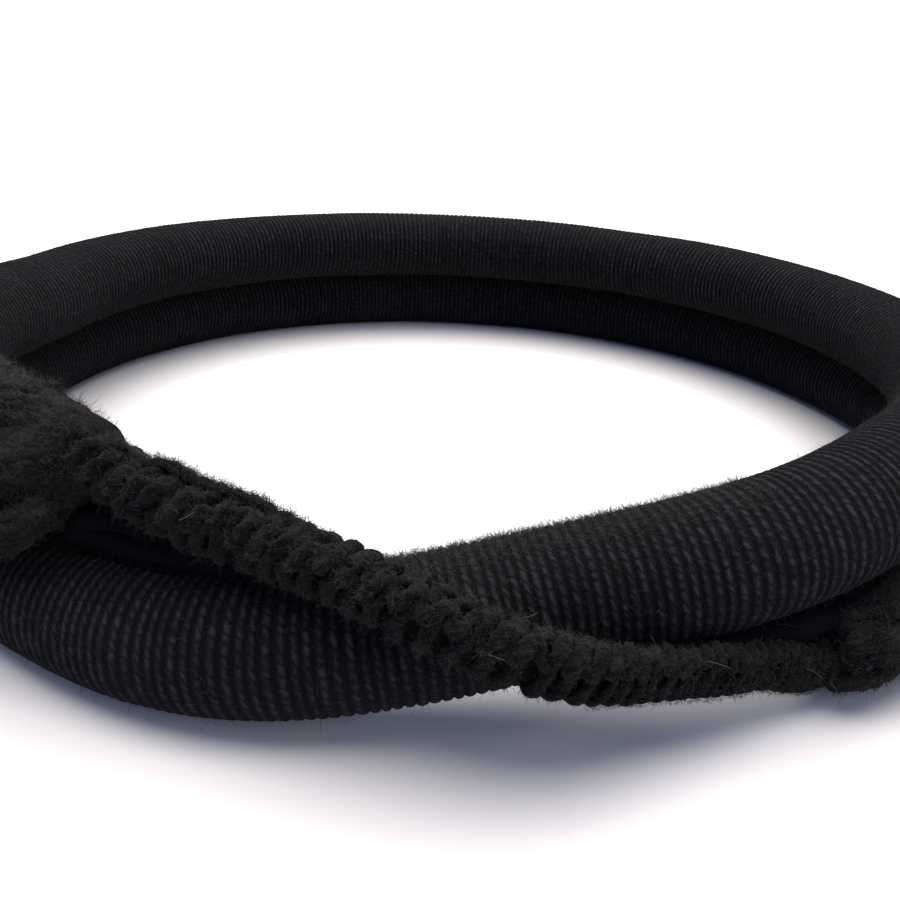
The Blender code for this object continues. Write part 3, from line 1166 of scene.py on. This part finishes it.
@dataclass
class WrappedEnd:
    """A cord's end bound over with coarse, loosely twisted yarn."""

    name: str
    replaces: str
    start: float
    end: float
    strands: int
    over_strands: int
    yarn_radius: float
    lay: float  # turns that a strand makes round the end over its whole way
    fibres: int
    longest_fibre: float
    seed: int
    skein_reach: tuple[float, ...] = ()  # the angles between which a loose skein hangs, if any
    hollow: float = 0.0  # how far the underside is drawn up behind the thick end
    sleeve_sides: int = 40
    sleeve_lump: float = 0.0006
    sleeve_grain: tuple[float, float] = (8.0, 1.0)  # the sleeve's map against a strand's
    twist: float = 0.0058
    lobe: float = 0.24
    taper: float = 16.0  # a strand thins over the last part of its way, one in so many
    ripple: float = 0.0005
    skein_twist: float = 0.0062
    skein_lobe: float = 0.34
    skein_strands: int = 11
    skein_out: tuple[float, float] = (0.0052, 0.0072)  # from the end's middle, at the ends and the bulge
    skein_down: tuple[float, float] = (0.0034, 0.0074)
    skein_spread: float = 0.0024
    sides: int = 8
    samples: int = 72

    def centre(self, angle: Array) -> Array:
        """The wrapping's centreline."""
        if self.start > FULL_TURN:
            return ROUTE.upper_cap_centre(angle)
        return ROUTE.lower_cap_centre(angle)

    def radius(self, angle: Array) -> Array:
        """The wrapping's radius."""
        if self.start > FULL_TURN:
            return ROUTE.upper_cap_radius_at(angle)
        return ROUTE.lower_cap_radius_at(angle)

    def draw_up(self, points: Array, centre: Array, angle: Array) -> None:
        """Draws the underside up behind the thick end, which the wrapping is gathered towards.

        Args:
            points: The points to move, one for each angle.
            centre: The wrapping's middle beside each point.
            angle: Where each point lies along the wrapping.
        """
        share = (angle - self.start) / (self.end - self.start)
        height = self.hollow * smooth_share(share, 0.90, 0.66) * smooth_share(share, 0.05, 0.35)
        below = np.clip((centre[:, 2] - points[:, 2]) / self.radius(angle), 0.0, 1.0)
        points[:, 2] = points[:, 2] + height * below

    def body(self) -> Piece:
        """The uneven sleeve under the strands."""
        rng = np.random.default_rng(self.seed)
        angle = np.linspace(self.start, self.end, self.samples)
        sections = Sections.along(self.centre(angle))
        sides = self.sleeve_sides
        lumps = round_ring(wander(rng, self.samples, 7, 12), sides)
        reach = (self.radius(angle) - 0.75 * self.yarn_radius)[:, None] + self.sleeve_lump * lumps
        rings = sections.skin(reach)
        for side in range(sides):
            self.draw_up(rings[:, side], sections.centre, angle)
        length = arc_length(sections.centre)
        uv = strand_uv(length, sides) * self.sleeve_grain
        return tube_mesh(self.name + "_body", rings[None], uv[None])

    def bundle(self, name: str, count: int, lay: float, rise: float, seed: int) -> Strands:
        """Strands that run along the end and turn round it a little.

        Args:
            name: The piece's name.
            count: How many strands.
            lay: The turns that each makes.
            rise: How far their middles lie over the sleeve, in yarn radii.
            seed: For the unevenness.

        Returns:
            The strands.
        """
        rng = np.random.default_rng(seed)
        strands = Strands(name, self.sides, self.twist, self.lobe)
        for strand in range(count):
            begin = blend(self.start, self.end, rng.uniform(0.0, 0.10))
            finish = blend(self.start, self.end, 1.0 - rng.uniform(0.0, 0.06))
            angle = np.linspace(begin, finish, self.samples)
            share = (angle - self.start) / (self.end - self.start)
            sections = Sections.along(self.centre(angle))
            wobble = wander(rng, self.samples, 18, 2)
            turn = 2.0 * math.pi * (strand / count + lay * share) + rng.uniform(-0.08, 0.08)
            turn = turn + 0.30 * wobble[:, 0]
            size = self.yarn_radius * (1.0 + rng.uniform(-0.15, 0.15)) * (1.0 + 0.12 * wobble[:, 1])
            taper = np.sqrt(np.clip(np.minimum(share, 1.0 - share) * self.taper, 0.15, 1.0))
            size = size * taper
            over = rise * (1.0 - smooth_share(share, 0.70, 0.95))
            reach = self.radius(angle) - self.yarn_radius + self.yarn_radius * over
            reach = reach - 0.0011 * smooth_share(share, 0.80, 1.0)
            reach = reach + self.ripple * wander(rng, self.samples, 9)[:, 0]
            path = sections.point(turn[:, None], reach[:, None])[:, 0]
            path[:, 2] = np.maximum(path[:, 2], size)
            self.draw_up(path, sections.centre, angle)
            strands.add(path, unit(path - sections.centre), size, strand * 0.013)
        return strands

    def skein(self, first: float, last: float) -> Strands:
        """The loose skein that hangs over the outside of the cord below the end.

        Args:
            first: The angle at which it leaves the wrapping.
            last: The angle at which it goes back under it.

        Returns:
            Its strands.
        """
        rng = np.random.default_rng(self.seed + 7)
        strands = Strands(self.name + "_skein", self.sides, self.skein_twist, self.skein_lobe)
        count = self.skein_strands
        for strand in range(count):
            begin, finish = first + rng.uniform(0.0, 1.0), last - rng.uniform(0.0, 1.0)
            angle = np.linspace(begin, finish, self.samples)
            share = np.linspace(0.0, 1.0, self.samples)
            bulge = np.sqrt(np.sin(np.pi * np.clip(share, 0.001, 0.999)))
            sections = Sections.along(self.centre(angle))
            wobble = wander(rng, self.samples, 16, 3)
            place = 2.0 * math.pi * (strand / count + 0.4 * share) + 0.3 * wobble[:, 0]
            spread = self.skein_spread * bulge * (0.25 if strand % 4 == 0 else 1.0)
            out = blend(*self.skein_out, bulge) + spread * np.cos(place)
            down = blend(*self.skein_down, bulge) + spread * np.sin(place)
            path = sections.centre + out[:, None] * sections.outwards - down[:, None] * sections.upwards
            size = self.yarn_radius * 1.15 * (1.0 + 0.15 * wobble[:, 1])
            outwards = np.cos(place)[:, None] * sections.outwards
            facing = unit(outwards - np.sin(place)[:, None] * sections.upwards)
            strands.add(path, facing, size, strand * 0.017)
        return strands

    def build(self, material: Material, fluff: Material) -> None:
        """Makes the sleeve, both layers of strands, the skein if there is one, and loose fibres.

        Args:
            material: The wrapping yarn's finish.
            fluff: The fibres' finish.
        """
        body = self.body()
        body.data.materials.append(material)
        crossing = self.name + "_crossing_strands"
        layers = [
            self.bundle(self.name + "_strands", self.strands, self.lay, 0.0, self.seed + 1),
            self.bundle(crossing, self.over_strands, -0.8 * self.lay, 0.35, self.seed + 2),
        ]
        if self.skein_reach:
            layers.append(self.skein(*self.skein_reach))
        for piece in (body, *(layer.piece(material) for layer in layers)):
            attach(piece, "root")
            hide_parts(self.replaces)
            LOG.info("%s: %d faces", piece.name, len(piece.data.polygons))
        wool = Fluff(
            self.name + "_fluff", "wrapped_yarn", count=self.fibres, shortest=0.0009,
            longest=self.longest_fibre, thickness=0.000026, lift=0.4, seed=self.seed + 3,
        )
        wool.build(*wool.sprout(layers, 0.45, 0.0007), fluff)


@dataclass(frozen=True)
class Studio:
    """The pale floor, the soft light and the camera."""

    eye: tuple[float, float, float] = (-0.010046, -0.176828, 0.072224)
    right: tuple[float, float, float] = (0.99852, -0.02286, 0.04939)
    up: tuple[float, float, float] = (-0.03720, 0.37583, 0.92594)
    lens: float = 36.61
    shift_y: float = -0.0178
    floor_reach: float = 12.0
    floor_colour: str = "#bfbfc0"
    key: float = 8.4  # watts for a square metre
    key_from: tuple[float, float, float] = (0.0, 0.22, 1.0)
    key_spread: float = 76.0  # degrees
    key_colour: str = "#fff6ea"
    fill: float = 0.85
    fill_from: tuple[float, float, float] = (0.9, -1.0, 0.6)
    fill_spread: float = 50.0
    fill_colour: str = "#fff8f2"
    room: float = 0.66
    room_colour: str = "#b0c3fa"

    def camera(self) -> None:
        """The camera at the photograph's angle."""
        data = bpy.data.cameras.new("camera")
        data.lens = self.lens
        data.sensor_width = 36.0
        data.shift_y = self.shift_y
        data.clip_start = 0.005
        camera = bpy.data.objects.new("camera", data)
        bpy.context.scene.collection.objects.link(camera)
        right, up = Vector(self.right).normalized(), Vector(self.up).normalized()
        turn = Matrix((right, up, right.cross(up))).transposed().to_4x4()
        camera.matrix_world = Matrix.Translation(self.eye) @ turn
        bpy.context.scene.camera = camera

    def floor(self) -> None:
        """A wide pale floor."""
        bm = bmesh.new()
        bmesh.ops.create_grid(bm, x_segments=4, y_segments=4, size=self.floor_reach)
        mesh = bpy.data.meshes.new("floor")
        bm.to_mesh(mesh)
        bm.free()
        mesh.shade_smooth()
        floor = bpy.data.objects.new("floor", mesh)
        # Matt white paper: an even ground without a gloss, on which only the soft shadow shows.
        material, _, shader = dull_material("matt_paper", 0.9, 0.0)
        shader.inputs["Base Color"].default_value = linear_colour(self.floor_colour)
        mesh.materials.append(material)
        bpy.context.scene.collection.objects.link(floor)

    def light(self, name: str, come_from: Vector, spread: float, strength: float, colour: str) -> None:
        """Adds an even soft light from one side.

        Args:
            name: Its name.
            come_from: The direction it comes from.
            spread: How wide it looks from the object, in degrees.
            strength: In watts for a square metre.
            colour: An sRGB hex colour.
        """
        data = bpy.data.lights.new(name, "SUN")
        data.angle = math.radians(spread)
        data.energy = strength
        data.color = linear_colour(colour)[:3]
        lamp = bpy.data.objects.new(name, data)
        lamp.location = come_from
        lamp.rotation_euler = come_from.to_track_quat("Z", "Y").to_euler()
        bpy.context.scene.collection.objects.link(lamp)

    def world(self) -> None:
        """A dim cool room with a white backdrop."""
        world = bpy.data.worlds.new("studio")
        world.use_nodes = True
        tree = world.node_tree
        room = tree.nodes["Background"]
        room.inputs["Color"].default_value = linear_colour(self.room_colour)
        room.inputs["Strength"].default_value = self.room
        backdrop = add_node(tree, "Background", {"Color": (1.0, 1.0, 1.0, 1.0), "Strength": 1.0})
        seen = add_node(tree, "LightPath", {}).outputs["Is Camera Ray"]
        mixed = add_node(tree, "MixShader", {0: seen, 1: room.outputs[0], 2: backdrop.outputs[0]})
        tree.links.new(mixed.outputs[0], tree.nodes["World Output"].inputs["Surface"])
        bpy.context.scene.world = world

    def build(self) -> None:
        """Sets the stage."""
        self.camera()
        self.floor()
        self.world()
        self.light("softbox", Vector(self.key_from), self.key_spread, self.key, self.key_colour)
        self.light("front_fill", Vector(self.fill_from), self.fill_spread, self.fill, self.fill_colour)
        bpy.context.scene.view_settings.view_transform = "Standard"


def main() -> None:
    """Builds the head cord and its stage."""
    logging.basicConfig(level=logging.INFO, format="%(name)s %(message)s")
    Studio().build()
    # Fine mohair yarn, wound tight: dull black; a painted highlight on ply crests, painted shade in
    # grooves.
    winding = YarnFinish(
        "wound_mohair_yarn", "#040508", "#28272a", Winding.ROUND,
        plies=40.0, ply_slant=0.80, ply_depth=0.00009, painted_ply_highlight=0.80, painted_groove_shade=0.35,
        fibre_depth=0.00055, fibre_scale=(130.0, 6.0), darkest=1.10, lightest=2.20,
    )
    # Thick soft wool: matt black that drinks the light, slightly mottled along the yarn.
    stitching = YarnFinish(
        "stitched_wool_yarn", "#030306", "#1b1918", Winding.ALONG,
        fibre_depth=0.00065, fibre_scale=(11.0, 2.1), darkest=0.72, lightest=1.08,
        patch_mm=3.0, patch_tone=0.7,
    )
    # Coarse loose wool: as matt and black, mottled in broader patches, so that it looks combed open.
    wrapping = YarnFinish(
        "wrapped_wool_yarn", "#030306", "#1d1b1a", Winding.ALONG,
        fibre_depth=0.00065, fibre_scale=(9.0, 1.9), darkest=0.86, lightest=1.24,
        patch_mm=4.5, patch_tone=1.0,
    )
    # Felted wool, painted near-black as shade, darker than the yarns: the gaps between and beside the
    # stitches stay dark.
    padding = YarnFinish(
        "painted_shade_padding", "#020307", "#0b0b0d", Winding.ALONG, roughness=0.98, sheen=0.0,
        fibre_depth=0.00040, fibre_scale=(12.0, 2.0), darkest=0.60, lightest=1.0,
    )
    # Single wool fibres: a soft dark haze over the yarns and along their outline.
    fluff = FluffFinish("loose_wool_fibres", "#1b191a", 0.9, 0.02).material()
    WoundCord().build(winding.material(), fluff)
    # A few coarse pale hairs, which glint singly.
    stray = FluffFinish("bright_stray_fibres", "#5a5658", 0.6, 0.1).material()
    StitchedLink().build(stitching.material(), padding.material(), fluff, stray)
    wrapped = wrapping.material()
    WrappedEnd(
        "upper_end", "upper_end_cap", ROUTE.upper_rim - 1.0, ROUTE.upper_nose - 0.8,
        strands=32, over_strands=15, yarn_radius=0.00115, lay=0.35,
        fibres=21000, longest_fibre=0.0030, seed=41, skein_reach=(580.0, 598.5),
    ).build(wrapped, fluff)
    WrappedEnd(
        "lower_end", "lower_end_cap", ROUTE.lower_rim + 1.0, ROUTE.lower_nose - 1.0,
        strands=22, over_strands=8, yarn_radius=0.0010, lay=0.30,
        fibres=13500, longest_fibre=0.0026, seed=61, hollow=0.0036,
    ).build(wrapped, fluff)


if __name__ == "__main__":
    main()
